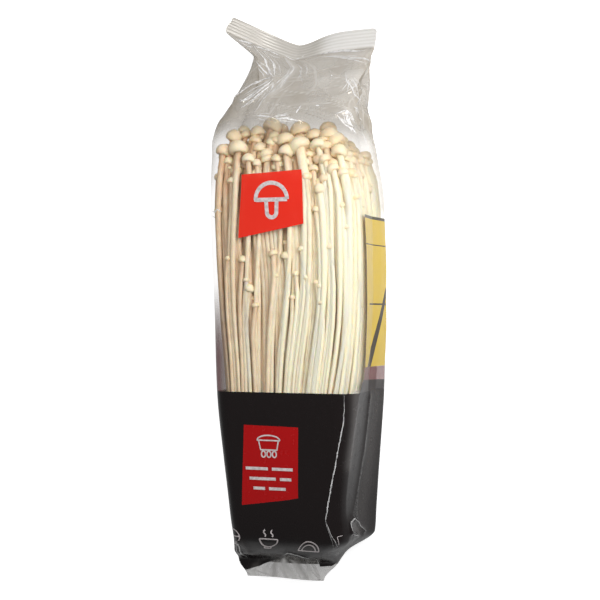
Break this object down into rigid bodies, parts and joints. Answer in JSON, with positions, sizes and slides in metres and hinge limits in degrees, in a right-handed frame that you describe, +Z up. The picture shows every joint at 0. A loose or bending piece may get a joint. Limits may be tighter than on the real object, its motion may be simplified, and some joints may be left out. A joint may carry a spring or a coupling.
{
  "type": "enoki mushroom bunch",
  "caption": "Bunch of enoki mushrooms with its root base, in a sealed clear film bag printed black over the lower part, lying on its back.",
  "frame": {"origin": "on the flat back of the bag where it rests, halfway along the pack and on its middle line", "axes": "+X across the bag, +Y from the root base to the caps, +Z up from the surface it lies on to the front of the bag"},
  "size_m": [0.0646, 0.2194, 0.041],
  "materials": {
    "mushroom_flesh": "moist matt mushroom flesh, cream caps and paler stems",
    "clear_film": "clear glossy polypropylene film, creased",
    "black_film": "the same glossy film printed black"
  },
  "bodies": {
    "root": {"enoki_bunch": "mushroom_flesh", "bag_clear_film": "clear_film", "bag_black_film": "black_film", "bag_bottom_seal": "clear_film"}
  },
  "joints": []
}
